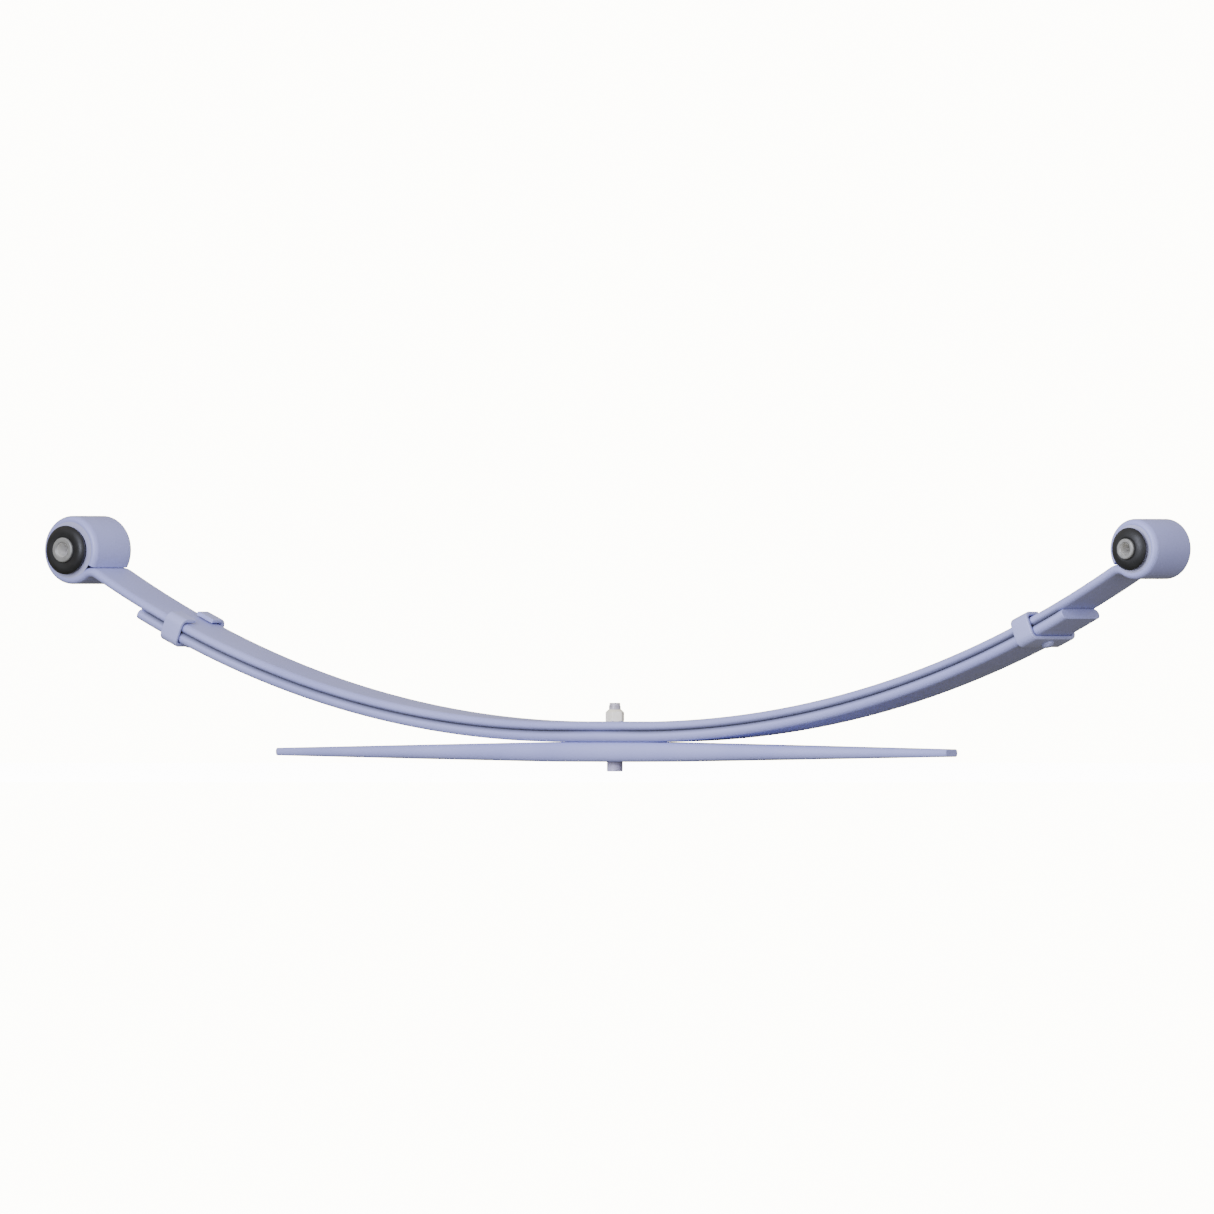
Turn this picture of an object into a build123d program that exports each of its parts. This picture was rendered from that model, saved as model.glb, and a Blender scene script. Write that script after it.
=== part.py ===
from build123d import *
import math
import os

# A two-stage leaf spring: a main leaf with a rolled eye at each end, a second leaf nested under it,
# and a straight tapered overload leaf below, held together by a centre bolt and two rebound clips.
# Frame: +X towards the rear (smaller) eye, +Y across the leaves, +Z up along the centre bolt.
# The origin is on the bolt's axis, on the underside of the overload leaf. All sizes are in mm.

# ---- leaves ----
leaf_width = 60.0
leaf_edge_depth = 6.0  # the bar's long edges are rolled to half an ellipse this deep
main_thickness = 9.5
second_thickness = 11.0
camber_radius = 1250.0  # upper face of the main leaf, unloaded
seat_half_length = 48.5  # flat stretch each side of the bolt
second_leaf_short_of_eye = 88.0  # square-cut end to the eye centre, along X

# ---- overload leaf ----
overload_thickness = 20.0
overload_reach = 429.0  # bolt to the tip
overload_flat_half = 60.0  # full thickness each side of the bolt
overload_tip_thickness = 7.8
overload_tip_height = 9.6  # middle of the tip above the seat face
overload_tip_width = 20.0
overload_full_width_half = 230.0  # past this the leaf narrows towards the tip
overload_tip_rim = 1.3  # rounding around the tip's end face
overload_edge_depth = 7.0
overload_tip_edge_depth = 2.33

# ---- rolled eyes ----
eye_half_span = 680.0  # bolt to eye centre, along X
eye_above_top = 0.6  # eye centre above the line of the main leaf's upper face
eye_bend_radius = 12.0  # inside of the reverse bend before each eye
eye_seam_gap = 0.8  # rolled end to the leaf it curls back on
front_eye_bore = 50.0
rear_eye_bore = 41.0

# ---- bushes ----
shell_wall = 3.0
shell_gap = 0.02  # pressed shell, drawn this much under the eye's bore
rubber_turn_gap = 0.05  # bonded rubber to the sleeve that twists in it
sleeve_proud = 12.0  # past each side of the eye
sleeve_chamfer = 0.9
front_bush = {
    "sleeve diameter": 25.0,
    "sleeve bore": 14.2,
    "rim inset": 0.4,  # in from the eye's bore, where the rubber flares out of the shell
    "rim height": 6.4,  # heights are out of the eye's side
    "shoulder inset": 3.4,
    "shoulder height": 9.2,
    "face margin": 4.0,  # ring of flat face around the sleeve
    "face height": 10.0,
}
rear_bush = {
    "sleeve diameter": 20.5,
    "sleeve bore": 12.2,
    "rim inset": -0.7,
    "rim height": 5.0,
    "shoulder inset": 3.3,
    "shoulder height": 8.2,
    "face margin": 1.95,
    "face height": 9.6,
}

# ---- centre bolt ----
bolt_diameter = 12.0
bolt_hole_gap = 0.3
bolt_head_diameter = 16.0
bolt_head_height = 9.6
bolt_head_chamfer = 1.0
bolt_end_above_nut = 6.7
bolt_end_chamfer = 1.2
nut_across_flats = 17.0
nut_height = 12.0
nut_thread_gap = 0.05
nut_turn = -6.0  # a corner of the hexagon, degrees from +X
nut_corner_cut = 3.4  # height of the cone that trims the corners
nut_face_rim = 0.4  # flat ring left around the thread

# ---- rebound clips ----
clip_from_leaf_end = 43.5  # second leaf's end to the middle of the clip's base, along X
clip_width = 22.0  # strap, along the leaf
clip_thickness = 4.2
clip_edge_radius = 1.4
clip_bend_radius = 4.0  # inside of each corner
clip_side_gap = 2.0
clip_top_gap = 1.5
clip_base_gap = 0.02
clip_tab_gap = 27.0  # between the two folded tabs
rivet_diameter = 8.0
rivet_head_diameter = 12.6
rivet_head_height = 4.0
rivet_head_rim = 1.0
rivet_shoulder_out = 0.75  # of the head's radius, where the dome has dropped by
rivet_shoulder_drop = 0.3  # of its height
rivet_sink_diameter = 13.0
rivet_sink_depth = 3.0
rivet_hole_gap = 0.15
rivet_flush_gap = 0.1

# ---- heights and places that follow ----
second_bottom = overload_thickness
main_bottom = second_bottom + second_thickness
main_top = main_bottom + main_thickness
camber_centre = (seat_half_length, main_top + camber_radius)
eye_line_radius = camber_radius - eye_above_top
eye_angle = math.asin((eye_half_span - seat_half_length) / eye_line_radius)
eye_height = camber_centre[1] - eye_line_radius * math.cos(eye_angle)
eye_centre = (eye_half_span, eye_height)
second_leaf_reach = eye_half_span - second_leaf_short_of_eye
clip_reach = second_leaf_reach - clip_from_leaf_end
second_underside_radius = camber_radius + main_thickness + second_thickness
clip_angle = math.degrees(math.asin((clip_reach - seat_half_length) / second_underside_radius))
nut_top = main_top + nut_height
bolt_end = nut_top + bolt_end_above_nut
across = (0, 1, 0)
cutter_over = 1.0  # a cutter runs this much past what it cuts


def bearing(point, origin):
    """Angle in degrees of a point seen from an origin, both as (x, z)."""
    return math.degrees(math.atan2(point[1] - origin[1], point[0] - origin[0]))


def circles_cross(first, first_radius, second, second_radius, side):
    """Where two circles cross, left (side 1) or right (side -1) of the line from first to second."""
    apart = math.dist(first, second)
    along = (first_radius**2 - second_radius**2 + apart**2) / (2 * apart)
    off = math.sqrt(first_radius**2 - along**2)
    ux = (second[0] - first[0]) / apart
    uz = (second[1] - first[1]) / apart
    return (first[0] + along * ux - side * off * uz, first[1] + along * uz + side * off * ux)


def rolled_section(width, thickness, edge_depth):
    """Across a rolled bar: flat faces between two edges that are each half an ellipse."""
    flat = width / 2 - edge_depth
    half = thickness / 2
    right = EllipticalCenterArc((flat, 0), edge_depth, half, start_angle=-90, arc_size=180)
    left = EllipticalCenterArc((-flat, 0), edge_depth, half, start_angle=90, arc_size=180)
    faces = [Line((-flat, -half), (flat, -half)), Line((flat, half), (-flat, half))]
    return make_face([*right.edges(), *left.edges(), *faces])


def bent_bar(section, start, heading, stretches):
    """A bar of one section, bent in the XZ plane. Each stretch is a straight run of
    (length,) or a bend of (middle radius, angle), where a positive angle turns it upwards."""
    bar = Part()
    x, z = start
    for stretch in stretches:
        turn = math.radians(heading)
        ahead = (math.cos(turn), 0, math.sin(turn))
        placed = Plane((x, 0, z), x_dir=across, z_dir=ahead) * section
        if len(stretch) == 1:
            bar += extrude(placed, amount=stretch[0], dir=ahead)
            x += stretch[0] * ahead[0]
            z += stretch[0] * ahead[2]
            continue
        radius, angle = stretch
        way = math.copysign(1, angle)
        centre = (x - way * radius * ahead[2], z + way * radius * ahead[0])
        hinge = Axis((centre[0], 0, centre[1]), (0, -way, 0))
        bar += revolve(placed, axis=hinge, revolution_arc=abs(angle))
        heading += angle
        turn = math.radians(heading)
        x = centre[0] + way * radius * math.sin(turn)
        z = centre[1] - way * radius * math.cos(turn)
    return bar


def both_ways(half):
    """A half that runs to the rear, and its mirror image to the front."""
    return half + mirror(half, about=Plane.YZ)


def bolt_hole(bottom, top):
    """The cutter for the centre bolt's hole through one leaf."""
    radius = bolt_diameter / 2 + bolt_hole_gap
    return Pos(0, 0, bottom - cutter_over) * extrude(Circle(radius), amount=top - bottom + 2 * cutter_over)


# ---- main leaf ----
def main_half(bore):
    """Half of the main leaf, from the bolt to the end of its rolled eye."""
    roll = bore / 2 + main_thickness / 2
    bend = eye_bend_radius + main_thickness / 2
    line = camber_radius + main_thickness / 2
    bend_centre = circles_cross(camber_centre, line + bend, eye_centre, roll + bend, -1)
    camber_turn = bearing(bend_centre, camber_centre) + 90
    roll_start = bearing(bend_centre, eye_centre)
    bend_turn = camber_turn - (roll_start + 90)
    kept_off = bend + main_thickness / 2 + eye_seam_gap
    seam = circles_cross(eye_centre, roll + main_thickness / 2, bend_centre, kept_off, -1)
    roll_turn = (bearing(seam, eye_centre) - roll_start) % 360
    stretches = [(seat_half_length,), (line, camber_turn), (bend, -bend_turn), (roll, roll_turn)]
    section = rolled_section(leaf_width, main_thickness, leaf_edge_depth)
    return bent_bar(section, (0, main_bottom + main_thickness / 2), 0, stretches)


def make_main_leaf():
    front = mirror(main_half(front_eye_bore), about=Plane.YZ)
    return main_half(rear_eye_bore) + front - bolt_hole(main_bottom, main_top)


# ---- second leaf ----
def clip_plane():
    """The seat of the rear clip: x along the leaf, z out of its underside into the leaf."""
    turn = math.radians(clip_angle)
    x = camber_centre[0] + second_underside_radius * math.sin(turn)
    z = camber_centre[1] - second_underside_radius * math.cos(turn)
    return Plane(
        (x, 0, z),
        x_dir=(math.cos(turn), 0, math.sin(turn)),
        z_dir=(-math.sin(turn), 0, math.cos(turn)),
    )


def rivet_hole():
    """The cutter for the rivet: a plain hole with a countersink at the second leaf's upper face."""
    shank = rivet_diameter / 2 + rivet_hole_gap
    sink = rivet_sink_diameter / 2 + rivet_hole_gap
    top = second_thickness
    outline = Polyline(
        (0, -clip_thickness - cutter_over),
        (shank, -clip_thickness - cutter_over),
        (shank, top - rivet_sink_depth),
        (sink, top),
        (sink, top + cutter_over),
        (0, top + cutter_over),
        close=True,
    )
    return clip_plane() * revolve(Plane.XZ * make_face(outline), axis=Axis.Z)


def make_second_leaf():
    line = camber_radius + main_thickness + second_thickness / 2
    turn = math.degrees(math.asin((second_leaf_reach - seat_half_length) / line))
    section = rolled_section(leaf_width, second_thickness, leaf_edge_depth)
    start = (0, second_bottom + second_thickness / 2)
    half = bent_bar(section, start, 0, [(seat_half_length,), (line, turn)])
    return both_ways(half - rivet_hole()) - bolt_hole(second_bottom, main_bottom)


# ---- overload leaf ----
def overload_section(x, width, thickness, middle, edge_depth=overload_edge_depth):
    """The overload leaf's section at a place along it."""
    section = rolled_section(width, thickness, edge_depth)
    return Plane((x, 0, middle), x_dir=across, z_dir=(1, 0, 0)) * section


def make_overload_leaf():
    """Full thickness at the seat, tapering in thickness to full_width_half, then in width too."""
    middle = overload_thickness / 2
    share = (overload_full_width_half - overload_flat_half) / (overload_reach - overload_flat_half)
    part_thickness = overload_thickness + share * (overload_tip_thickness - overload_thickness)
    part_middle = middle + share * (overload_tip_height - middle)
    centre = overload_section(0, leaf_width, overload_thickness, middle)
    flat_end = overload_section(overload_flat_half, leaf_width, overload_thickness, middle)
    full_end = overload_section(overload_full_width_half, leaf_width, part_thickness, part_middle)
    tip = overload_section(
        overload_reach,
        overload_tip_width,
        overload_tip_thickness,
        overload_tip_height,
        overload_tip_edge_depth,
    )
    half = extrude(centre, amount=overload_flat_half, dir=(1, 0, 0))
    half += loft([flat_end, full_end], ruled=True)
    half += loft([full_end, tip], ruled=True)
    end_face = half.faces().sort_by(Axis.X)[-1]
    half = fillet(end_face.edges(), overload_tip_rim)
    return both_ways(half) - bolt_hole(0, overload_thickness)


# ---- centre bolt and nut ----
def make_centre_bolt():
    head = Pos(0, 0, -bolt_head_height) * extrude(
        Circle(bolt_head_diameter / 2), amount=bolt_head_height
    )
    head = chamfer(head.edges().group_by(Axis.Z)[0], bolt_head_chamfer)
    shank = extrude(Circle(bolt_diameter / 2), amount=bolt_end)
    shank = chamfer(shank.edges().group_by(Axis.Z)[-1], bolt_end_chamfer)
    return head + shank


def make_centre_nut():
    hexagon = RegularPolygon(nut_across_flats / 2, 6, major_radius=False, rotation=nut_turn)
    nut = Pos(0, 0, main_top) * extrude(hexagon, amount=nut_height)
    corner = nut_across_flats / 2 / math.cos(math.pi / 6)
    thread_radius = bolt_diameter / 2 + nut_thread_gap
    face = thread_radius + nut_face_rim
    rim = nut_top - nut_corner_cut
    side = corner + cutter_over
    outline = Polyline(
        (0, main_top), (side, main_top), (side, rim), (face, nut_top), (0, nut_top), close=True
    )
    cone = revolve(Plane.XZ * make_face(outline), axis=Axis.Z)
    thread = Pos(0, 0, main_top - cutter_over) * extrude(
        Circle(thread_radius), amount=nut_height + 2 * cutter_over
    )
    return (nut & cone) - thread


# ---- bushes ----
def turned(points, centre_x):
    """A round piece on an eye's axis, from its outline as (radius, distance along the axis)."""
    outline = Polyline(*points, close=True)
    piece = revolve(make_face(outline), axis=Axis.Y)
    return Pos(centre_x, 0, eye_height) * piece


def make_shell(bore, centre_x):
    outer = bore / 2 - shell_gap
    inner = outer - shell_wall
    half = leaf_width / 2
    return turned([(inner, -half), (outer, -half), (outer, half), (inner, half)], centre_x)


def make_rubber(bore, bush, centre_x):
    inside = bush["sleeve diameter"] / 2 + rubber_turn_gap
    seat = bore / 2 - shell_gap - shell_wall
    half = leaf_width / 2
    rim = (bore / 2 - bush["rim inset"], half + bush["rim height"])
    shoulder = (bore / 2 - bush["shoulder inset"], half + bush["shoulder height"])
    face = (bush["sleeve diameter"] / 2 + bush["face margin"], half + bush["face height"])
    flare = ThreePointArc(rim, shoulder, face)
    edges = Polyline(face, (inside, half + bush["face height"]), (inside, 0), (seat, 0), (seat, half), rim)
    side = revolve(make_face(flare.edges() + edges.edges()), axis=Axis.Y)
    return Pos(centre_x, 0, eye_height) * (side + mirror(side, about=Plane.XZ))


def make_sleeve(bush, centre_x):
    outer = bush["sleeve diameter"] / 2
    inner = bush["sleeve bore"] / 2
    end = leaf_width / 2 + sleeve_proud
    cut = sleeve_chamfer
    side = [(inner, end), (outer - cut, end), (outer, end - cut)]
    return turned(side + [(r, -y) for r, y in reversed(side)], centre_x)


# ---- rebound clips ----
def make_clip():
    """The rear clip: a strap under the second leaf, up both sides and folded over the main leaf."""
    bend = clip_bend_radius + clip_thickness / 2
    half = leaf_width / 2 + clip_side_gap + clip_thickness / 2
    base = -clip_base_gap - clip_thickness / 2
    top = second_thickness + main_thickness + clip_top_gap + clip_thickness / 2
    tab = (half - bend - clip_tab_gap / 2,)
    arm = (top - base - 2 * bend,)
    corner = (bend, 90)
    stretches = [tab, corner, arm, corner, (2 * (half - bend),), corner, arm, corner, tab]
    start = (-clip_tab_gap / 2, top)
    section = RectangleRounded(clip_width, clip_thickness, clip_edge_radius)
    strap = bent_bar(section, start, 180, stretches)
    return clip_plane() * (Rot(0, 0, 90) * strap) - rivet_hole()


def make_clip_rivet():
    """The rear clip's rivet: a domed head under the strap, countersunk into the second leaf."""
    seat = -clip_base_gap - clip_thickness
    rim = seat - rivet_head_rim
    crown = seat - rivet_head_height
    top = second_thickness - rivet_flush_gap
    shank = rivet_diameter / 2
    head = rivet_head_diameter / 2
    shoulder = (rivet_shoulder_out * head, crown + rivet_shoulder_drop * (rim - crown))
    dome = ThreePointArc((0, crown), shoulder, (head, rim))
    stem = Polyline(
        (head, rim),
        (head, seat),
        (shank, seat),
        (shank, top - rivet_sink_depth),
        (rivet_sink_diameter / 2, top),
        (0, top),
        (0, crown),
    )
    outline = make_face(dome.edges() + stem.edges())
    return clip_plane() * revolve(Plane.XZ * outline, axis=Axis.Z)


def to_front(rear_piece):
    return mirror(rear_piece, about=Plane.YZ)


rear_clip = make_clip()
rear_rivet = make_clip_rivet()
pieces = {
    "main_leaf": make_main_leaf(),
    "second_leaf": make_second_leaf(),
    "overload_leaf": make_overload_leaf(),
    "centre_bolt": make_centre_bolt(),
    "centre_nut": make_centre_nut(),
    "front_clip": to_front(rear_clip),
    "front_clip_rivet": to_front(rear_rivet),
    "rear_clip": rear_clip,
    "rear_clip_rivet": rear_rivet,
}
bushes = [
    ("front", -eye_half_span, front_eye_bore, front_bush),
    ("rear", eye_half_span, rear_eye_bore, rear_bush),
]
for end, centre_x, eye_bore, bush in bushes:
    pieces[end + "_bush_shell"] = make_shell(eye_bore, centre_x)
    pieces[end + "_bush_rubber"] = make_rubber(eye_bore, bush, centre_x)
    pieces[end + "_bush_sleeve"] = make_sleeve(bush, centre_x)

os.makedirs("parts", exist_ok=True)
for name, piece in pieces.items():
    export_step(piece, f"parts/{name}.step")
print("eye centre", round(eye_centre[0], 3), round(eye_centre[1], 3))
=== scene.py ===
import math

import bmesh
import bpy
from mathutils import Matrix, Vector


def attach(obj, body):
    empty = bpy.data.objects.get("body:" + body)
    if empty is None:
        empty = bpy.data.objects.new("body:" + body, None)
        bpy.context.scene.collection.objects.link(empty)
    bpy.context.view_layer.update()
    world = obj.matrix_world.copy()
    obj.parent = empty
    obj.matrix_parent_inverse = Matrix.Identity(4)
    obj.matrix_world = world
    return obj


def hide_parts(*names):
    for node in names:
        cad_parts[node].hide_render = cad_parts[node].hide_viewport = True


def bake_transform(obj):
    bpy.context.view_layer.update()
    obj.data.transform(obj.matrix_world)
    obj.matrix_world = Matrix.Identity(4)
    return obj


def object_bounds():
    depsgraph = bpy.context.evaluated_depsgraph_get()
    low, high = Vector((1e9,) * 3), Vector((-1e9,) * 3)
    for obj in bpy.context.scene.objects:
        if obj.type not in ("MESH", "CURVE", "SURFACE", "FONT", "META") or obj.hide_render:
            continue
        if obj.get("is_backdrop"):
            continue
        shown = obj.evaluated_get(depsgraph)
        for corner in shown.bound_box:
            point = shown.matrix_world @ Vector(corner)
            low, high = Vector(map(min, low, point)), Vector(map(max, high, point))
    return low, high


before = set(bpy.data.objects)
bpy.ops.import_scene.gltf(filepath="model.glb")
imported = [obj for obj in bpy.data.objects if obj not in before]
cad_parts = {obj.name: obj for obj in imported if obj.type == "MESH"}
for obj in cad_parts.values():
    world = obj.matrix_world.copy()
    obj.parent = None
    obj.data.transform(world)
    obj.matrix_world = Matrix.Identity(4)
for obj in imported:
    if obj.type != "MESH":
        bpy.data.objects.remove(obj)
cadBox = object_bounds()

mm = 0.001  # all sizes below are in millimetres, the scene is in metres
noMove = (0, 0, 0)
axisHole = 0.02  # a turned piece's smallest ring, which closing up fills


# modelling helpers
def clearSelection():
    if bpy.context.object and bpy.context.object.mode != "OBJECT":
        bpy.ops.object.mode_set(mode="OBJECT")
    bpy.ops.object.select_all(action="DESELECT")


def workOn(piece):
    clearSelection()
    piece.select_set(True)
    bpy.context.view_layer.objects.active = piece


def openForEditing(piece):
    workOn(piece)
    bpy.ops.object.mode_set(mode="EDIT")


def named(name):
    # takes the object just added, bakes its place into the mesh and opens it
    piece = bpy.context.object
    piece.name = name
    piece.data.name = name
    bpy.ops.object.transform_apply(location=True, rotation=True, scale=True)
    openForEditing(piece)
    return piece


def pickVerts(piece, test):
    bpy.ops.mesh.select_mode(type="VERT")
    bpy.ops.mesh.select_all(action="DESELECT")
    mesh = bmesh.from_edit_mesh(piece.data)
    for vert in mesh.verts:
        vert.select = test(vert.co)
    mesh.select_flush_mode()
    bmesh.update_edit_mesh(piece.data)


def pickEdges(piece, test):
    bpy.ops.mesh.select_mode(type="EDGE")
    bpy.ops.mesh.select_all(action="DESELECT")
    mesh = bmesh.from_edit_mesh(piece.data)
    for edge in mesh.edges:
        edge.select = test(edge)
    bmesh.update_edit_mesh(piece.data)


def closeUp(piece, angle=35):
    # ends filled, normals outwards, smooth except over real corners
    bpy.ops.mesh.select_mode(type="VERT")
    bpy.ops.mesh.select_all(action="SELECT")
    bpy.ops.mesh.remove_doubles(threshold=0.000002)
    bpy.ops.mesh.select_all(action="SELECT")
    bpy.ops.mesh.fill_holes(sides=0)
    bpy.ops.mesh.select_all(action="SELECT")
    bpy.ops.mesh.normals_make_consistent(inside=False)
    bpy.ops.object.mode_set(mode="OBJECT")
    bpy.ops.object.shade_smooth_by_angle(angle=math.radians(angle))


def soften(piece, width, segments=3, angle=35):
    workOn(piece)
    bevel = piece.modifiers.new("softCorners", "BEVEL")
    bevel.width = width * mm
    bevel.segments = segments
    bevel.limit_method = "ANGLE"
    bevel.angle_limit = math.radians(angle)
    bevel.harden_normals = False
    bpy.ops.object.modifier_apply(modifier=bevel.name)
    bpy.ops.object.shade_smooth_by_angle(angle=math.radians(angle))


def copyOf(piece, name):
    made = piece.copy()
    made.data = piece.data.copy()
    made.name = name
    made.data.name = name
    bpy.context.collection.objects.link(made)
    return made


def mirrored(piece, name):
    # the front half's copy of a rear piece
    made = copyOf(piece, name)
    made.data.transform(Matrix.Scale(-1, 4, (1, 0, 0)))
    openForEditing(made)
    bpy.ops.mesh.select_all(action="SELECT")
    bpy.ops.mesh.normals_make_consistent(inside=False)
    bpy.ops.object.mode_set(mode="OBJECT")
    return made


def pushRing(along, scale=(1, 1, 1), about=noMove):
    # the selected ring is drawn out and then scaled about a point
    bpy.ops.mesh.extrude_edges_move(TRANSFORM_OT_translate={"value": along})
    if scale != (1, 1, 1):
        bpy.ops.transform.resize(value=scale, center_override=about)


def turnPiece(name, stations, sides=96):
    # a round piece about the Z axis: a ring drawn through (radius, height) stations and closed on itself
    radius, height = stations[0]
    clearSelection()
    bpy.ops.mesh.primitive_circle_add(
        vertices=sides, radius=radius * mm, fill_type="NOTHING", location=(0, 0, height * mm)
    )
    piece = named(name)
    bpy.ops.mesh.select_all(action="SELECT")
    for nextRadius, nextHeight in stations[1:] + stations[:1]:
        share = nextRadius / radius
        pushRing((0, 0, (nextHeight - height) * mm), (share, share, 1), (0, 0, nextHeight * mm))
        radius, height = nextRadius, nextHeight
    return piece


def arcStations(centre, radius, start, end, steps):
    return [
        (
            centre[0] + radius * math.cos(math.radians(start + (end - start) * i / steps)),
            centre[1] + radius * math.sin(math.radians(start + (end - start) * i / steps)),
        )
        for i in range(steps + 1)
    ]


# the leaves' layout, the same sizes as the CAD model
stack = {
    "width": 60.0,
    "mainThickness": 9.5,
    "secondThickness": 11.0,
    "overloadThickness": 20.0,
    "camberRadius": 1250.0,
    "seatHalf": 48.5,
    "edgeDepth": 6.0,
    "eyeX": 680.0,
    "eyeZ": 212.442,
    "bendRadius": 12.0,
    "seamGap": 0.3,
    "frontBore": 50.0,
    "rearBore": 41.0,
    "secondReach": 592.0,
    "clipReach": 548.5,
}
secondBottom = stack["overloadThickness"]
mainBottom = secondBottom + stack["secondThickness"]
mainTop = mainBottom + stack["mainThickness"]
camberCentre = (stack["seatHalf"], mainTop + stack["camberRadius"])
eyeCentre = (stack["eyeX"], stack["eyeZ"])
farFromSeat, shearedRim = 300.0, 0.5


def bearing(point, origin):
    return math.degrees(math.atan2(point[1] - origin[1], point[0] - origin[0]))


def circlesCross(first, firstRadius, second, secondRadius):
    apart = math.dist(first, second)
    along = (firstRadius**2 - secondRadius**2 + apart**2) / (2 * apart)
    off = math.sqrt(firstRadius**2 - along**2)
    ux, uz = (second[0] - first[0]) / apart, (second[1] - first[1]) / apart
    return (first[0] + along * ux + off * uz, first[1] + along * uz - off * ux)


def leafRing(name, x, z, width, thickness, depth, corners=48):
    # the bar's section: flat faces, with half an ellipse at each long edge
    clearSelection()
    place = (x * mm, 0, z * mm)
    bpy.ops.mesh.primitive_circle_add(
        vertices=corners, radius=mm, fill_type="NOTHING",
        location=place, rotation=(math.pi / 2, 0, math.pi / 2),
    )
    piece = named(name)
    bpy.ops.mesh.select_all(action="SELECT")
    halfStep = math.pi / corners
    bpy.ops.transform.rotate(value=halfStep, orient_axis="X", center_override=place)
    reach = 1 / math.cos(halfStep)
    bpy.ops.transform.resize(value=(1, depth * reach, thickness / 2 * reach), center_override=place)
    for side in (-1, 1):
        pickVerts(piece, lambda co: co.y * side > 0)
        bpy.ops.transform.translate(value=(0, side * (width / 2 - depth) * mm, 0))
    bpy.ops.mesh.select_all(action="SELECT")
    return piece


def swing(centre, angle, steps):
    # the selected ring goes round a point in the XZ plane, upwards for a positive angle
    bpy.ops.mesh.spin(
        steps=steps, angle=math.radians(angle), center=(centre[0] * mm, 0, centre[1] * mm), axis=(0, 1, 0)
    )


def onEndFace(edge):
    # an end face is the only one with more than four corners
    return any(len(face.verts) > 4 for face in edge.link_faces)


def breakFarRim(piece):
    # breaks the sharp rim of a leaf's sheared end, not the one at the seat
    openForEditing(piece)
    pickEdges(piece, lambda edge: edge.verts[0].co.x > farFromSeat * mm and onEndFace(edge))
    bpy.ops.mesh.bevel(offset=shearedRim * mm, segments=3, affect="EDGES")
    closeUp(piece)


def mainLeafHalf(name, bore):
    roll = bore / 2 + stack["mainThickness"] / 2
    bend = stack["bendRadius"] + stack["mainThickness"] / 2
    line = stack["camberRadius"] + stack["mainThickness"] / 2
    bendCentre = circlesCross(camberCentre, line + bend, eyeCentre, roll + bend)
    camberTurn = bearing(bendCentre, camberCentre) + 90
    rollStart = bearing(bendCentre, eyeCentre)
    bendTurn = camberTurn - (rollStart + 90)
    keptOff = bend + stack["mainThickness"] / 2 + stack["seamGap"]
    seam = circlesCross(eyeCentre, roll + stack["mainThickness"] / 2, bendCentre, keptOff)
    rollTurn = (bearing(seam, eyeCentre) - rollStart) % 360
    middle = mainBottom + stack["mainThickness"] / 2
    piece = leafRing(name, 0, middle, stack["width"], stack["mainThickness"], stack["edgeDepth"])
    pushRing((stack["seatHalf"] * mm, 0, 0))
    swing(camberCentre, camberTurn, 72)
    swing(bendCentre, -bendTurn, 16)
    swing(eyeCentre, rollTurn, 72)
    closeUp(piece)
    breakFarRim(piece)
    return piece


def secondLeafHalf(name):
    line = stack["camberRadius"] + stack["mainThickness"] + stack["secondThickness"] / 2
    turn = math.degrees(math.asin((stack["secondReach"] - stack["seatHalf"]) / line))
    middle = secondBottom + stack["secondThickness"] / 2
    piece = leafRing(name, 0, middle, stack["width"], stack["secondThickness"], stack["edgeDepth"])
    pushRing((stack["seatHalf"] * mm, 0, 0))
    swing(camberCentre, turn, 64)
    closeUp(piece)
    breakFarRim(piece)
    return piece


# painted shade between the leaves: the colour their facing edges darken to, and where the darkening starts
# and stops
paintedCreviceShade = {"opens": 0.35, "closes": 0.95, "endMargin": 8.0, "colour": "#6f7186"}


def paintCreviceShade(piece, underFace):
    # marks the rolled edge that faces the other leaf, as a mask for painted shade that darkens the coat
    # where the two leaves meet
    marks = piece.data.attributes.new("paintedCreviceShade", "FLOAT", "POINT")
    centre = Vector((camberCentre[0] * mm, 0, camberCentre[1] * mm))
    for vert in piece.data.vertices:
        out = centre - Vector((abs(vert.co.x), 0, vert.co.z))
        if abs(vert.co.x) < stack["seatHalf"] * mm:
            out = Vector((0, 0, 1))
        out.x = math.copysign(out.x, -vert.co.x)
        facing = vert.normal.dot(out.normalized())
        towards = -facing if underFace else facing
        covered = abs(vert.co.x) < (stack["secondReach"] - paintedCreviceShade["endMargin"]) * mm
        depth = (towards - paintedCreviceShade["opens"]) / (paintedCreviceShade["closes"] - paintedCreviceShade["opens"])
        marks.data[vert.index].value = min(1, max(0, depth)) if covered else 0


# overload leaf
overload = {
    "reach": 429.0,
    "flatHalf": 60.0,
    "fullWidthHalf": 230.0,
    "tipThickness": 7.8,
    "tipHeight": 9.6,
    "tipWidth": 20.0,
    "edgeDepth": 7.0,
    "tipRim": 1.3,
    "kinkRun": 22.0,  # the forge leaves no sharp line where a taper starts
    "steps": 78,
}


def eased(x, start, end):
    # share of the way from start to end, with its two kinks rounded
    soft = overload["kinkRun"]
    t = (x - start) / (end - start)
    step = soft / (end - start)
    if -step < t < step:
        return (t + step) ** 2 / (4 * step)
    return max(t, 0)


def overloadSize(x):
    x = abs(x)
    thin = eased(x, overload["flatHalf"], overload["reach"])
    narrow = eased(x, overload["fullWidthHalf"], overload["reach"])
    full = stack["overloadThickness"]
    thickness = full + thin * (overload["tipThickness"] - full)
    middle = full / 2 + thin * (overload["tipHeight"] - full / 2)
    width = stack["width"] + narrow * (overload["tipWidth"] - stack["width"])
    return width, thickness, middle


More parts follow.
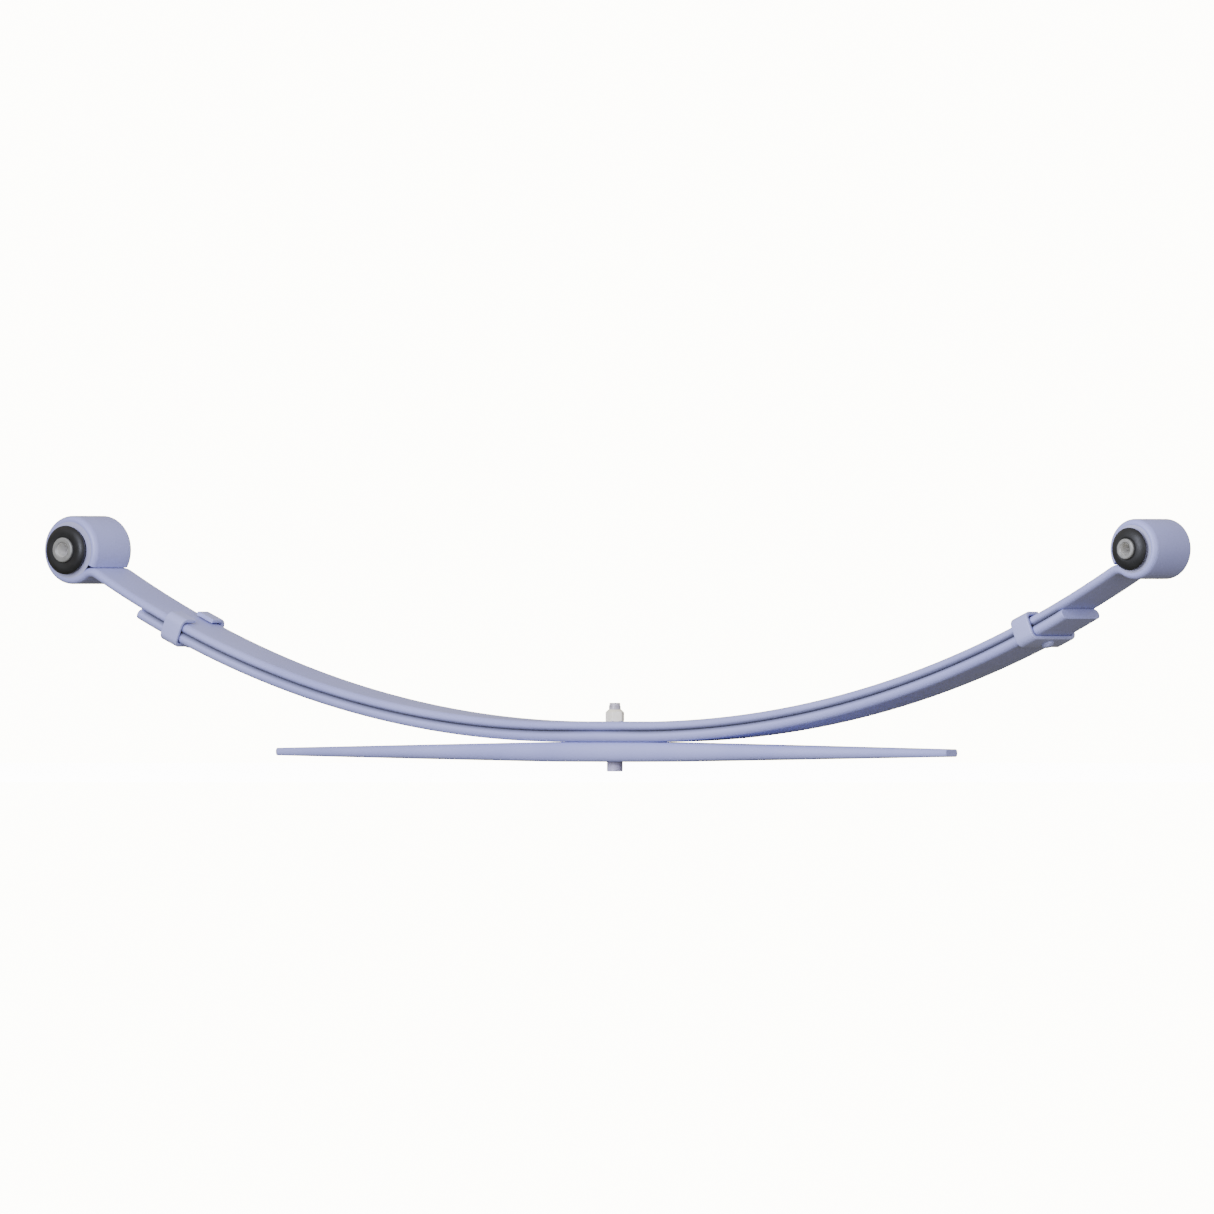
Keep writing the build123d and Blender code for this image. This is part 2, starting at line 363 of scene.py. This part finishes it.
def overloadLeaf(name):
    reach = overload["reach"]
    steps = overload["steps"]
    stops = [-reach + i * 2 * reach / steps for i in range(steps + 1)]
    width, thickness, middle = overloadSize(stops[0])
    depth = overload["edgeDepth"] * width / stack["width"]
    piece = leafRing(name, stops[0], middle, width, thickness, depth)
    for last, x in zip(stops, stops[1:]):
        newWidth, newThickness, newMiddle = overloadSize(x)
        about = (x * mm, 0, newMiddle * mm)
        along = ((x - last) * mm, 0, (newMiddle - middle) * mm)
        pushRing(along, (1, newWidth / width, newThickness / thickness), about)
        width, thickness, middle = newWidth, newThickness, newMiddle
    closeUp(piece)
    openForEditing(piece)
    pickEdges(piece, onEndFace)
    bpy.ops.mesh.bevel(offset=overload["tipRim"] * mm, segments=5, affect="EDGES")
    closeUp(piece)
    return piece


# bushes: rim, shoulder and face are the rubber's (radius, distance from the leaf's middle)
bushes = {
    "front": {
        "x": -stack["eyeX"], "bore": stack["frontBore"], "sleeve": 25.0, "sleeveBore": 14.2, "mouth": 1.1,
        "flareEnd": 33.4, "rim": (24.6, 36.4), "shoulder": (21.6, 39.2), "face": (16.5, 40.0),
    },
    "rear": {
        "x": stack["eyeX"], "bore": stack["rearBore"], "sleeve": 20.5, "sleeveBore": 12.2, "mouth": 0.9,
        "flareEnd": 32.9, "rim": (21.2, 35.0), "shoulder": (17.2, 38.2), "face": (12.2, 39.6),
    },
}
shell = {
    "wall": 3.0,
    "gap": 0.02,
    "peenTurns": (0, 20, 35, 48, 60, 70, 78),  # stops round the eye's rounded rim, in degrees
    "peenDepth": 0.1,  # how far the peened end stays under the eye's side
    "mouth": (0.5, 0.6),
}
rubberEdge = {
    "sleeveGap": 0.05,
    "flare": ((0.0, 30.0), (0.3, 31.6)),  # share of the way out to the rim, distance from the middle
    "flareEnd": 0.75,
    "lip": ((-0.1, -0.9), (0.0, -0.25), (-0.15, 0.35)),  # steps from the rim's widest ring
    "collar": ((1.0, -0.25), (0.25, -0.5), (0.0, -0.9)),  # steps from the sleeve and the face
}
sleeve = {"end": 42.0, "corner": 0.9, "soft": 0.15, "boreMargin": 0.3}


def standInEye(piece, x):
    # from the Z axis it was turned on to the eye's own axis along Y
    place = Matrix.Translation((x * mm, 0, stack["eyeZ"] * mm))
    piece.data.transform(place @ Matrix.Rotation(math.pi / 2, 4, "X"))


def throughThree(first, second, third, steps):
    # points on the arc through three stations
    ax, ay = first
    bx, by = second
    cx, cy = third
    d = 2 * (ax * (by - cy) + bx * (cy - ay) + cx * (ay - by))
    ux = ((ax**2 + ay**2) * (by - cy) + (bx**2 + by**2) * (cy - ay) + (cx**2 + cy**2) * (ay - by)) / d
    uy = ((ax**2 + ay**2) * (cx - bx) + (bx**2 + by**2) * (ax - cx) + (cx**2 + cy**2) * (bx - ax)) / d
    start = math.degrees(math.atan2(ay - uy, ax - ux))
    end = math.degrees(math.atan2(cy - uy, cx - ux))
    return arcStations((ux, uy), math.hypot(ax - ux, ay - uy), start, end, steps)


def bothSides(stations):
    return stations + [(r, -h) for r, h in reversed(stations)]


def bushRubber(name, bush):
    # bonded between shell and sleeve, flaring out of the shell to a soft rim, then domed in to the sleeve
    inside = bush["sleeve"] / 2 + rubberEdge["sleeveGap"]
    seat = bush["bore"] / 2 - shell["gap"] - shell["wall"]
    rimR, rimH = bush["rim"]
    faceR, faceH = bush["face"]
    spread = rimR - seat
    flare = [(seat + share * spread, height) for share, height in rubberEdge["flare"]]
    flare.append((seat + rubberEdge["flareEnd"] * spread, bush["flareEnd"]))
    lip = [(rimR + out, rimH + up) for out, up in rubberEdge["lip"]]
    dome = throughThree(lip.pop(), bush["shoulder"], (faceR, faceH), 14)
    collar = [(inside + out, faceH + up) for out, up in rubberEdge["collar"]]
    piece = turnPiece(name, bothSides(flare + lip + dome + collar))
    closeUp(piece, 60)
    standInEye(piece, bush["x"])
    return piece


def bushShell(name, bush):
    outer = bush["bore"] / 2 - shell["gap"]
    inner = outer - shell["wall"]
    side = stack["width"] / 2
    # its ends are peened out into the eye's rounded rims, which the coat then runs across
    rim = [
        (
            outer + stack["mainThickness"] / 2 * (1 - math.cos(math.radians(turn))),
            side - stack["edgeDepth"] * (1 - math.sin(math.radians(turn))) - shell["peenDepth"],
        )
        for turn in shell["peenTurns"]
    ]
    across, deep = shell["mouth"]
    lip = [(inner + across, side - shell["peenDepth"]), (inner, side - deep)]
    piece = turnPiece(name, bothSides((rim + lip)[::-1])[::-1])
    closeUp(piece)
    standInEye(piece, bush["x"])
    return piece


def bushSleeve(name, bush):
    outer, inner = bush["sleeve"] / 2, bush["sleeveBore"] / 2
    mouth, corner, top = bush["mouth"], sleeve["corner"], sleeve["end"]
    end = [(inner, top - mouth), (inner + mouth, top), (outer - corner, top), (outer, top - corner)]
    piece = turnPiece(name, bothSides(end))
    closeUp(piece, 30)
    soften(piece, sleeve["soft"], 2, 30)
    standInEye(piece, bush["x"])
    return piece


# centre bolt and nut
bolt = {
    "shank": 12.0,
    "pitch": 1.5,
    "threadDepth": 0.5,
    "headDiameter": 16.0,
    "headHeight": 9.6,
    "headCorner": 1.0,
    "headRim": 0.25,
    "threadRun": (2.0, 3.0),  # the shank narrows to the thread's root over these heights above the leaf
    "end": 59.2,
    "tip": ((0.0, -0.7), (-0.5, -0.1), (-0.8, 0.0)),  # steps from the root and the end
    "threadStart": 4.0,
    "plainEnd": 1.6,
}
nut = {
    "acrossFlats": 17.0,
    "height": 12.0,
    "turn": -6.0,
    "cornerCut": 3.4,
    "faceRim": 0.4,
    "corner": 0.35,
    "threadGap": 0.05,
    "topRound": 0.1,
    "baseCut": (1.1, 0.9),
    "blankOver": 0.2,  # the turned blank stands this far outside the corners
}
nutTop = mainTop + nut["height"]


def centreBolt(name):
    head, shank, root = bolt["headDiameter"] / 2, bolt["shank"] / 2, bolt["shank"] / 2 - bolt["threadDepth"]
    corner = bolt["headCorner"]
    base = -bolt["headHeight"]
    stations = [(axisHole, base), (head - corner, base)]
    stations += [(head - 0.3 * corner, base + 0.3 * corner), (head, base + corner)]
    stations += [(head, -bolt["headRim"]), (head - bolt["headRim"], 0.0), (shank, 0.0)]
    stations += [(shank, mainTop + bolt["threadRun"][0]), (root, mainTop + bolt["threadRun"][1])]
    top = bolt["end"]
    stations += [(root + out, top + up) for out, up in bolt["tip"]]
    stations.append((axisHole, top))
    piece = turnPiece(name, stations, 64)
    closeUp(piece, 30)
    # the thread is one ridge wound round the end
    start = mainTop + bolt["threadStart"]
    place = (root * mm, 0, start * mm)
    clearSelection()
    bpy.ops.mesh.primitive_circle_add(
        vertices=3, radius=bolt["pitch"] / 2 * mm, location=place, rotation=(math.pi / 2, 0, 0)
    )
    ridge = named(name + "Thread")
    bpy.ops.mesh.select_all(action="SELECT")
    bpy.ops.transform.rotate(value=math.pi / 2, orient_axis="Y", center_override=place)
    bpy.ops.object.mode_set(mode="OBJECT")
    reach = max(v.co.x for v in ridge.data.vertices)
    ridge.data.transform(Matrix.Translation((bolt["shank"] / 2 * mm - reach, 0, 0)))
    wound = ridge.modifiers.new("wound", "SCREW")
    wound.axis = "Z"
    wound.steps = wound.render_steps = 48
    wound.screw_offset = bolt["pitch"] * mm
    wound.iterations = int((top - bolt["plainEnd"] - start) / bolt["pitch"])
    wound.use_merge_vertices = True
    bpy.ops.object.modifier_apply(modifier=wound.name)
    openForEditing(ridge)
    closeUp(ridge, 25)
    clearSelection()
    ridge.select_set(True)
    piece.select_set(True)
    bpy.context.view_layer.objects.active = piece
    bpy.ops.object.join()
    return piece


def centreNut(name):
    corner = nut["acrossFlats"] / 2 / math.cos(math.pi / 6)
    clearSelection()
    bpy.ops.mesh.primitive_cylinder_add(
        vertices=6, radius=corner * mm, depth=nut["height"] * mm,
        location=(0, 0, (mainTop + nut["height"] / 2) * mm),
        rotation=(0, 0, math.radians(30 + nut["turn"])),
    )
    piece = named(name)
    pickEdges(piece, lambda e: abs(e.verts[0].co.z - e.verts[1].co.z) > mm)
    bpy.ops.mesh.bevel(offset=nut["corner"] * mm, segments=3, affect="EDGES")
    bpy.ops.object.mode_set(mode="OBJECT")
    # a turned blank trims the corners, and its hole takes the bolt
    hole = bolt["shank"] / 2 + nut["threadGap"]
    face = hole + nut["faceRim"]
    rim = nutTop - nut["cornerCut"]
    across, up = nut["baseCut"]
    over, top = corner + nut["blankOver"], nut["topRound"]
    blank = turnPiece(name + "Blank", [
        (hole, mainTop - 0.01), (corner - across, mainTop), (over, mainTop + up), (over, rim),
        (face + top, nutTop - top), (face - top, nutTop), (hole, nutTop),
    ])
    closeUp(blank)
    workOn(piece)
    trim = piece.modifiers.new("turned", "BOOLEAN")
    trim.operation = "INTERSECT"
    trim.solver = "EXACT"
    trim.object = blank
    bpy.ops.object.modifier_apply(modifier=trim.name)
    bpy.data.objects.remove(blank)
    openForEditing(piece)
    closeUp(piece, 20)
    return piece


# rebound clips
clip = {
    "width": 22.0,
    "thickness": 4.2,
    "edge": 1.4,
    "bend": 4.0,
    "sideGap": 1.2,
    "topGap": 1.5,
    "baseGap": 0.02,
    "tabGap": 27.0,
}
rivet = {
    "head": 12.6,
    "height": 4.0,
    "rim": 1.0,
    "shoulderOut": 0.75,  # share of the head's radius where the dome has come
    "shoulderDrop": 0.3,  # this share of the way from crown to rim
    "shank": 8.0,
    "sink": 13.0,
    "sinkDepth": 3.0,
    "flush": 0.1,
}


def clipPlace():
    # x along the leaf, z out of the second leaf's underside into it
    radius = stack["camberRadius"] + stack["mainThickness"] + stack["secondThickness"]
    turn = math.asin((stack["clipReach"] - stack["seatHalf"]) / radius)
    x = camberCentre[0] + radius * math.sin(turn)
    z = camberCentre[1] - radius * math.cos(turn)
    return Matrix.Translation((x * mm, 0, z * mm)) @ Matrix.Rotation(-turn, 4, "Y")


def clipPiece(name):
    bend = clip["bend"] + clip["thickness"] / 2
    half = stack["width"] / 2 + clip["sideGap"] + clip["thickness"] / 2
    base = -clip["baseGap"] - clip["thickness"] / 2
    top = stack["secondThickness"] + stack["mainThickness"] + clip["topGap"] + clip["thickness"] / 2
    tab = half - bend - clip["tabGap"] / 2
    arm = top - base - 2 * bend
    clearSelection()
    start = (0, clip["tabGap"] / 2 * mm, top * mm)
    bpy.ops.mesh.primitive_plane_add(size=1, location=start, rotation=(math.pi / 2, 0, 0))
    piece = bpy.context.object
    piece.scale = (clip["width"] * mm, clip["thickness"] * mm, 1)
    piece = named(name)
    bpy.ops.mesh.select_all(action="SELECT")
    bpy.ops.mesh.bevel(offset=clip["edge"] * mm, segments=6, affect="VERTICES")
    bpy.ops.mesh.select_all(action="SELECT")
    bpy.ops.mesh.delete(type="ONLY_FACE")
    bpy.ops.mesh.select_all(action="SELECT")
    heading, y, z = 0.0, clip["tabGap"] / 2, top
    for length in (tab, arm, 2 * (half - bend), arm, tab):
        step = (math.cos(math.radians(heading)), math.sin(math.radians(heading)))
        pushRing((0, step[0] * length * mm, step[1] * length * mm))
        y += step[0] * length
        z += step[1] * length
        if heading <= -360:
            break
        centre = (0, (y + bend * step[1]) * mm, (z - bend * step[0]) * mm)
        bpy.ops.mesh.spin(steps=10, angle=math.radians(90), center=centre, axis=(1, 0, 0))
        y += bend * step[1] + bend * step[0]
        z += -bend * step[0] + bend * step[1]
        heading -= 90
    closeUp(piece)
    return piece


def rivetPiece(name):
    seat = -clip["baseGap"] - clip["thickness"]
    crown = seat - rivet["height"]
    head, shank = rivet["head"] / 2, rivet["shank"] / 2
    top = stack["secondThickness"] - rivet["flush"]
    rim = seat - rivet["rim"]
    shoulder = (rivet["shoulderOut"] * head, crown + rivet["shoulderDrop"] * (rim - crown))
    stations = throughThree((axisHole, crown), shoulder, (head, rim), 12)
    stations += [(head, seat), (shank, seat), (shank, top - rivet["sinkDepth"])]
    stations += [(rivet["sink"] / 2, top), (axisHole, top)]
    piece = turnPiece(name, stations, 48)
    closeUp(piece, 50)
    return piece


print("modelling the leaves")
rearMain = mainLeafHalf("mainLeafRear", stack["rearBore"])
frontMain = mirrored(mainLeafHalf("mainLeafFrontBlank", stack["frontBore"]), "mainLeafFront")
bpy.data.objects.remove(bpy.data.objects["mainLeafFrontBlank"])
rearSecond = secondLeafHalf("secondLeafRear")
frontSecond = mirrored(rearSecond, "secondLeafFront")
# each leaf half gets its mask of painted shade on the edge that faces the other leaf
for half in (rearMain, frontMain):
    paintCreviceShade(half, True)
for half in (rearSecond, frontSecond):
    paintCreviceShade(half, False)
overloadPiece = overloadLeaf("overloadLeaf")
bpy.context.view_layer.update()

print("modelling the bolt, the nut and the clips")
boltPiece = centreBolt("centreBolt")
nutPiece = centreNut("centreNut")
rearClip = clipPiece("rearClip")
rearClip.data.transform(clipPlace())
frontClip = mirrored(rearClip, "frontClip")
rearRivet = rivetPiece("rearClipRivet")
rearRivet.data.transform(clipPlace())
frontRivet = mirrored(rearRivet, "frontClipRivet")

print("modelling the bushes")
bushPieces = {}
for end, bush in bushes.items():
    bushPieces[end + "_bush_shell"] = bushShell(end + "BushShell", bush)
    bushPieces[end + "_bush_rubber"] = bushRubber(end + "BushRubber", bush)
    bushPieces[end + "_bush_sleeve"] = bushSleeve(end + "BushSleeve", bush)


# materials
def linear(hexColour):
    parts = [int(hexColour[i : i + 2], 16) / 255 for i in (1, 3, 5)]
    return [c / 12.92 if c <= 0.04045 else ((c + 0.055) / 1.055) ** 2.4 for c in parts] + [1.0]


def addNode(tree, kind, values=None, wires=None, **settings):
    made = tree.nodes.new(kind)
    for key, value in settings.items():
        setattr(made, key, value)
    for key, value in (values or {}).items():
        made.inputs[key].default_value = value
    for key, source in (wires or {}).items():
        tree.links.new(source, made.inputs[key])
    return made


def newMaterial(name):
    material = bpy.data.materials.new(name)
    material.use_nodes = True
    tree = material.node_tree
    tree.nodes.clear()
    surface = addNode(tree, "ShaderNodeBsdfPrincipled")
    addNode(tree, "ShaderNodeOutputMaterial", wires={"Surface": surface.outputs[0]})
    coords = addNode(tree, "ShaderNodeTexCoord").outputs["Object"]
    return material, tree, surface, coords


def mottled(tree, coords, first, second, patch, detail=3, low=0.35, high=0.65):
    # two close colours in soft patches, patch is their size in mm
    values = {"Scale": 1 / (patch * mm), "Detail": detail}
    noise = addNode(tree, "ShaderNodeTexNoise", values, {"Vector": coords})
    ramp = addNode(tree, "ShaderNodeValToRGB", wires={"Fac": noise.outputs["Fac"]})
    ramp.color_ramp.elements[0].position = low
    ramp.color_ramp.elements[0].color = linear(first)
    ramp.color_ramp.elements[1].position = high
    ramp.color_ramp.elements[1].color = linear(second)
    return ramp.outputs["Color"]


def grain(tree, coords, size, height, strength, below=None, detail=2):
    # raised grain of a size and height in mm
    values = {"Scale": 1 / (size * mm), "Detail": detail}
    noise = addNode(tree, "ShaderNodeTexNoise", values, {"Vector": coords})
    wires = {"Height": noise.outputs["Fac"]}
    if below:
        wires["Normal"] = below
    bump = addNode(tree, "ShaderNodeBump", {"Strength": strength, "Distance": height * mm}, wires)
    return bump.outputs["Normal"]


def wander(tree, coords, size, low, high):
    # a value that wanders between two limits
    values = {"Scale": 1 / (size * mm), "Detail": 2}
    noise = addNode(tree, "ShaderNodeTexNoise", values, {"Vector": coords})
    span = addNode(
        tree, "ShaderNodeMapRange",
        {"From Min": 0.3, "From Max": 0.7, "To Min": low, "To Max": high}, {"Value": noise.outputs["Fac"]},
    )
    return span.outputs["Result"]


def coatedSteel(name, colours, roughness, peel, creviceShadeColour=None):
    # satin powder coat, sprayed and baked: even colour, a fine orange peel and a broad soft sheen
    material, tree, surface, coords = newMaterial(name)
    coat = mottled(tree, coords, *colours, 90)
    # painted shade: the coat is mixed towards a darker colour along the marked edges where the leaves meet
    if creviceShadeColour:
        mark = addNode(tree, "ShaderNodeAttribute", attribute_name="paintedCreviceShade").outputs["Fac"]
        creviceDarkened = addNode(tree, "ShaderNodeMix", data_type="RGBA")
        creviceDarkened.inputs["B"].default_value = linear(creviceShadeColour)
        tree.links.new(mark, creviceDarkened.inputs["Factor"])
        tree.links.new(coat, creviceDarkened.inputs["A"])
        coat = creviceDarkened.outputs["Result"]
    tree.links.new(coat, surface.inputs["Base Color"])
    tree.links.new(wander(tree, coords, 45, *roughness), surface.inputs["Roughness"])
    rolled = addNode(tree, "ShaderNodeMapping", {"Scale": (0.12, 1, 1)}, {"Vector": coords})
    # faint roll marks along the bar, under the coat
    marks = grain(tree, rolled.outputs["Vector"], 9, 0.25, 0.25)
    tree.links.new(grain(tree, coords, peel, 0.05, 0.35, marks), surface.inputs["Normal"])
    surface.inputs["IOR"].default_value = 1.5
    return material


def mouldedRubber(name):
    # natural rubber, moulded and bonded: near black, dull, with a slightly dusty bloom
    material, tree, surface, coords = newMaterial(name)
    tree.links.new(mottled(tree, coords, "#151516", "#1e1e1f", 14), surface.inputs["Base Color"])
    tree.links.new(wander(tree, coords, 8, 0.42, 0.58), surface.inputs["Roughness"])
    tree.links.new(grain(tree, coords, 0.9, 0.06, 0.4), surface.inputs["Normal"])
    surface.inputs["Specular IOR Level"].default_value = 0.35
    surface.inputs["IOR"].default_value = 1.52
    return material


def turnedSteel(name, eyeX):
    # steel tube, sawn and faced on a lathe: fine rings about its own axis on a bare grey
    material, tree, surface, coords = newMaterial(name)
    toAxis = {"Location": (-eyeX * mm, 0, -stack["eyeZ"] * mm)}
    centred = addNode(tree, "ShaderNodeMapping", toAxis, {"Vector": coords})
    ringStep = 0.9  # the wave texture's rings come out 2 pi times this far apart
    waves = {"Scale": 1 / (20 * ringStep * mm), "Distortion": 0.6, "Detail": 2}
    rings = addNode(
        tree, "ShaderNodeTexWave", waves, {"Vector": centred.outputs["Vector"]},
        wave_type="RINGS", rings_direction="Y",
    )
    relief = {"Strength": 0.25, "Distance": 0.04 * mm}
    bump = addNode(tree, "ShaderNodeBump", relief, {"Height": rings.outputs["Fac"]})
    tree.links.new(bump.outputs["Normal"], surface.inputs["Normal"])
    tree.links.new(mottled(tree, coords, "#8b8b89", "#9a9a97", 6), surface.inputs["Base Color"])
    tree.links.new(wander(tree, coords, 5, 0.36, 0.5), surface.inputs["Roughness"])
    surface.inputs["Metallic"].default_value = 0.5
    return material


def platedSteel(name, colours, metallic):
    # dull zinc plate from a barrel: pale, slightly clouded, with tiny knocks; the same finish also gives
    # the pale painted light inside the sleeves' bores
    material, tree, surface, coords = newMaterial(name)
    tree.links.new(mottled(tree, coords, *colours, 5), surface.inputs["Base Color"])
    tree.links.new(wander(tree, coords, 3, 0.3, 0.46), surface.inputs["Roughness"])
    tree.links.new(grain(tree, coords, 1.1, 0.04, 0.35), surface.inputs["Normal"])
    surface.inputs["Metallic"].default_value = metallic
    return material


print("making the materials")
leafCoat = coatedSteel("leafPowderCoat", ("#9b9ed3", "#a2a5d8"), (0.4, 0.5), 1.4, paintedCreviceShade["colour"])
clipCoat = coatedSteel("clipPowderCoat", ("#a0a3d4", "#a7aad9"), (0.38, 0.48), 1.2)
shellCoat = coatedSteel("shellPowderCoat", ("#a7a8c8", "#adaece"), (0.4, 0.5), 1.2)
headCoat = coatedSteel("boltHeadPowderCoat", ("#dad4f8", "#e0dafb"), (0.36, 0.46), 1.0)
rubber = mouldedRubber("mouldedRubber")
frontSteel = turnedSteel("frontTurnedSteel", -stack["eyeX"])
rearSteel = turnedSteel("rearTurnedSteel", stack["eyeX"])
zinc = platedSteel("zincPlate", ("#f0e9d4", "#f6f0df"), 0.1)
threadSteel = platedSteel("rolledThreadSteel", ("#b4aeb6", "#bdb8bf"), 0.15)
# painted light: a far paler finish for the sleeves' bores, which brightens their shaded inner walls
boreLitFinish = platedSteel("boreWithPaintedLight", ("#d6d5d0", "#dfdeda"), 0.1)

# what rides where
print("fitting the pieces to the frame")


def alsoOn(piece, material, test):
    # a second finish on the faces of a piece that pass a test of their middle
    piece.data.materials.append(material)
    for face in piece.data.polygons:
        if test(face.center):
            face.material_index = 1


def finishPiece(piece, material, slot, *nodes):
    piece.data.materials.clear()
    piece.data.materials.append(material)
    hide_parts(*nodes)


for main, second, end in ((frontMain, frontSecond, "front"), (rearMain, rearSecond, "rear")):
    for half, node in ((main, "main_leaf"), (second, "second_leaf")):
        finishPiece(half, leafCoat, "leaf_paint", node)
        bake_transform(half)
finishPiece(overloadPiece, leafCoat, "leaf_paint", "overload_leaf")
finishPiece(boltPiece, headCoat, "bolt_paint", "centre_bolt")
alsoOn(boltPiece, threadSteel, lambda middle: middle.z > mainTop * mm)
finishPiece(nutPiece, zinc, "nut_plate", "centre_nut")
for piece in (overloadPiece, boltPiece, nutPiece):
    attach(piece, "seat")
for strap, stud, end in ((frontClip, frontRivet, "front"), (rearClip, rearRivet, "rear")):
    finishPiece(strap, clipCoat, "clip_paint", end + "_clip")
    finishPiece(stud, clipCoat, "clip_paint", end + "_clip_rivet")
    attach(strap, end + "_arm")
    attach(stud, end + "_arm")
    finishPiece(bushPieces[end + "_bush_shell"], shellCoat, "shell_paint", end + "_bush_shell")
    finishPiece(bushPieces[end + "_bush_rubber"], rubber, "bush_rubber", end + "_bush_rubber")
    steel = frontSteel if end == "front" else rearSteel
    finishPiece(bushPieces[end + "_bush_sleeve"], steel, "sleeve_steel", end + "_bush_sleeve")
    bush = bushes[end]
    inBore = (bush["sleeveBore"] / 2 + sleeve["boreMargin"]) * mm
    eyeX, eyeZ = bush["x"] * mm, stack["eyeZ"] * mm
    # painted light on the bore's inner wall, which the lamps leave in shade
    alsoOn(
        bushPieces[end + "_bush_sleeve"], boreLitFinish,
        lambda middle: math.hypot(middle.x - eyeX, middle.z - eyeZ) < inBore,
    )
    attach(bushPieces[end + "_bush_shell"], end + "_arm")
    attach(bushPieces[end + "_bush_rubber"], end + "_arm")
    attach(bushPieces[end + "_bush_sleeve"], end + "_sleeve")

# floor, light and camera
print("setting the floor, the light and the camera")
studio = {
    "floorSize": 6.0,
    "floorDrop": 0.5,  # below the lowest point, in mm
    "floorGlow": 13.4,  # the floor is lit from under like a light table, for the camera alone
    "worldLight": 0.68,
    "worldSeen": 14.0,
    "worldTint": (1.0, 0.97, 0.86),
    "panelTint": (0.9, 0.93, 1.12),  # daylight panels in a warmer room
    "keyPower": 172.0,
    "keySize": 2.4,
    "keyTurn": 12.0,
    "keyRise": 22.0,
    "keyDistance": 4.0,
    "lowPower": 70.0,  # a weaker panel near the floor, which reaches under the leaves' edges
    "lowRise": 4.0,
    "endPower": 52.0,  # one off the rear end, for the faces that look that way
    "endTurn": 78.0,
    "endRise": 9.0,
}
clearSelection()
bpy.ops.mesh.primitive_circle_add(
    vertices=96, radius=studio["floorSize"] / 2, fill_type="NGON",
    location=(0, 0, -(bolt["headHeight"] + studio["floorDrop"]) * mm),
)
floor = bpy.context.object
floor.name = "floor"
floorPaint, floorTree, floorSurface, floorCoords = newMaterial("mattFloorPaint")
floorColour = mottled(floorTree, floorCoords, "#7e7c6a", "#83816f", 400)
floorTree.links.new(floorColour, floorSurface.inputs["Base Color"])
floorSurface.inputs["Roughness"].default_value = 0.9
glowPath = addNode(floorTree, "ShaderNodeLightPath")
glow = addNode(
    floorTree, "ShaderNodeMath", {1: studio["floorGlow"]}, {0: glowPath.outputs["Is Camera Ray"]},
    operation="MULTIPLY",
)
floorTree.links.new(glow.outputs[0], floorSurface.inputs["Emission Strength"])
floor.data.materials.append(floorPaint)
floor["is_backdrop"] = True

world = bpy.data.worlds.new("studio")
bpy.context.scene.world = world
world.use_nodes = True
worldTree = world.node_tree
worldTree.nodes.clear()
lightPath = addNode(worldTree, "ShaderNodeLightPath")
levels = {"To Min": studio["worldLight"], "To Max": studio["worldSeen"]}
seenLevel = addNode(worldTree, "ShaderNodeMapRange", levels, {"Value": lightPath.outputs["Is Camera Ray"]})
tint = {"Color": (*studio["worldTint"], 1)}
backdrop = addNode(worldTree, "ShaderNodeBackground", tint, {"Strength": seenLevel.outputs["Result"]})
addNode(worldTree, "ShaderNodeOutputWorld", wires={"Surface": backdrop.outputs[0]})


def softLight(name, power, size, turn, rise, distance, aim=(0, 0, 0.08)):
    clearSelection()
    turn, rise = math.radians(turn), math.radians(rise)
    back = Vector((math.sin(turn) * math.cos(rise), -math.cos(turn) * math.cos(rise), math.sin(rise)))
    bpy.ops.object.light_add(type="AREA", location=Vector(aim) + back * distance)
    lamp = bpy.context.object
    lamp.name = name
    lamp.rotation_mode = "QUATERNION"
    lamp.rotation_quaternion = back.to_track_quat("Z", "Y")
    lamp.data.shape = "SQUARE"
    lamp.data.size = size
    lamp.data.energy = power
    lamp.data.color = studio["panelTint"]
    return lamp


size, distance = studio["keySize"], studio["keyDistance"]
softLight("keyPanel", studio["keyPower"], size, studio["keyTurn"], studio["keyRise"], distance)
softLight("lowPanel", studio["lowPower"], size / 2, studio["keyTurn"], studio["lowRise"], distance)
softLight("endPanel", studio["endPower"], size, studio["endTurn"], studio["endRise"], distance)

view = {"turn": 38.63, "lens": 1500.0, "across": 1.214, "aim": (-6.13, -4.9, 154.9)}
bpy.ops.object.camera_add()
camera = bpy.context.object
turn = math.radians(view["turn"])
back = Vector((math.sin(turn), -math.cos(turn), 0))
camera.data.lens = view["lens"]
camera.data.sensor_width = 36.0
camera.data.clip_start = 1.0
camera.data.clip_end = 200.0
camera.location = Vector(view["aim"]) * mm + back * (view["across"] * view["lens"] / 36.0)
camera.rotation_mode = "QUATERNION"
camera.rotation_quaternion = back.to_track_quat("Z", "Y")
bpy.context.scene.camera = camera

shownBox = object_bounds()
for label, box in (("cad box", cadBox), ("visual box", shownBox)):
    print(label, [[round(c, 4) for c in corner] for corner in box])
